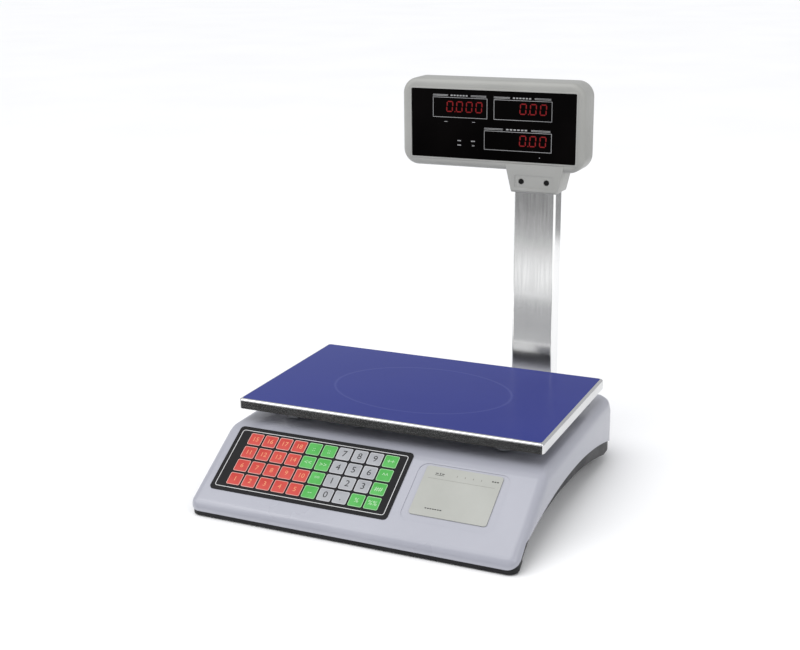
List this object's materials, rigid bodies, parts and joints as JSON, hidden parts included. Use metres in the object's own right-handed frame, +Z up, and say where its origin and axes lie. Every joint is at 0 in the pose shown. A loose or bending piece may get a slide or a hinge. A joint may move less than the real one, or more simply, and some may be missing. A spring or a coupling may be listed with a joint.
{
  "type": "retail price scale",
  "caption": "Counter price-computing scale with a flat weighing pan, sloping keypad, side hand grips and a double-sided display head on a rectangular mast.",
  "frame": {"origin": "centre of the bounding box at table level, 5 mm in front of the middle of the pan", "axes": "+Z up; -Y is the operator's side with the keypad; the display mast stands at +Y; +X is the operator's right"},
  "size_m": [0.359, 0.3906, 0.4144],
  "materials": {
    "white_abs": "glossy moulded housing plastic",
    "black_abs": "fine textured moulding",
    "warm_grey_abs": "satin moulding",
    "polished_stainless": "polished stainless sheet",
    "zinc_plated_steel": "zinc plated",
    "blackened_steel": "black oxide",
    "aluminium_alloy": "machined, clear anodised",
    "cast_aluminium": "as cast",
    "black_rubber": "moulded rubber",
    "blue_film": "thin protective film, slightly rippled",
    "keypad_print": "printed polyester sheet",
    "cream_label": "printed plastic plate",
    "smoked_window": "dark tinted acrylic",
    "green_board": "circuit board lacquer",
    "led_module": "moulded display module",
    "battery_case": "moulded battery case",
    "level_glass": "tinted level fluid under a clear dome"
  },
  "bodies": {
    "base": {"battery": "battery_case", "battery_door": "black_abs", "battery_door_screw_1": "zinc_plated_steel", "battery_door_screw_2": "zinc_plated_steel", "battery_strap": "zinc_plated_steel", "case_screw_1": "zinc_plated_steel", "case_screw_2": "zinc_plated_steel", "case_screw_3": "zinc_plated_steel", "case_screw_4": "zinc_plated_steel", "cell_bolt_1": "zinc_plated_steel", "cell_bolt_2": "zinc_plated_steel", "digits_price_front": "led_module", "digits_price_rear": "led_module", "digits_total_front": "led_module", "digits_total_rear": "led_module", "digits_weight_front": "led_module", "digits_weight_rear": "led_module", "display_board_front": "green_board", "display_board_rear": "green_board", "display_front_window": "smoked_window", "display_rear_window": "smoked_window", "head_front_shell": "warm_grey_abs", "head_rear_shell": "warm_grey_abs", "keypad_overlay": "keypad_print", "level_body": "black_abs", "level_vial": "level_glass", "load_cell": "aluminium_alloy", "load_cell_base": "zinc_plated_steel", "lower_tray": "black_abs", "main_board": "green_board", "mast": "polished_stainless", "mast_socket": "white_abs", "neck_screw_1": "blackened_steel", "neck_screw_2": "blackened_steel", "power_inlet": "black_abs", "rate_plate": "cream_label", "socket_screw_1": "zinc_plated_steel", "socket_screw_2": "zinc_plated_steel", "switch_frame": "black_abs", "transformer": "zinc_plated_steel", "upper_housing": "white_abs"},
    "foot_front_left": {"foot_pad_1": "black_rubber", "foot_stud_1": "zinc_plated_steel"},
    "foot_front_right": {"foot_pad_2": "black_rubber", "foot_stud_2": "zinc_plated_steel"},
    "foot_rear_left": {"foot_pad_3": "black_rubber", "foot_stud_3": "zinc_plated_steel"},
    "foot_rear_right": {"foot_pad_4": "black_rubber", "foot_stud_4": "zinc_plated_steel"},
    "pan_frame": {"load_post": "cast_aluminium", "load_frame": "cast_aluminium", "post_bolt_1": "zinc_plated_steel", "post_bolt_2": "zinc_plated_steel", "pan_cushion_1": "black_rubber", "pan_cushion_2": "black_rubber", "pan_cushion_3": "black_rubber", "pan_cushion_4": "black_rubber"},
    "pan": {"weighing_pan": "polished_stainless", "pan_film": "blue_film"},
    "power_rocker": {"switch_rocker": "black_abs"}
  },
  "joints": [
    {"name": "foot_front_left_screw", "type": "slide", "parent": "base", "child": "foot_front_left", "axis": [0, 0, 1], "range_m": [-0.006, 0]},
    {"name": "foot_front_right_screw", "type": "slide", "parent": "base", "child": "foot_front_right", "axis": [0, 0, 1], "range_m": [-0.006, 0]},
    {"name": "foot_rear_left_screw", "type": "slide", "parent": "base", "child": "foot_rear_left", "axis": [0, 0, 1], "range_m": [-0.006, 0]},
    {"name": "foot_rear_right_screw", "type": "slide", "parent": "base", "child": "foot_rear_right", "axis": [0, 0, 1], "range_m": [-0.006, 0]},
    {"name": "load_cell_give", "type": "slide", "parent": "base", "child": "pan_frame", "axis": [0, 0, 1], "range_m": [-0.0004, 0], "stiffness_N_per_m": 30000, "springref_m": 0.0006},
    {"name": "pan_lift", "type": "slide", "parent": "pan_frame", "child": "pan", "axis": [0, 0, 1], "range_m": [0, 0.05]},
    {"name": "power_rocker_tilt", "type": "hinge", "parent": "base", "child": "power_rocker", "pos_m": [0.15, 0.01525, 0.0192], "axis": [0, 0, 1], "range_deg": [0, 18]}
  ]
}
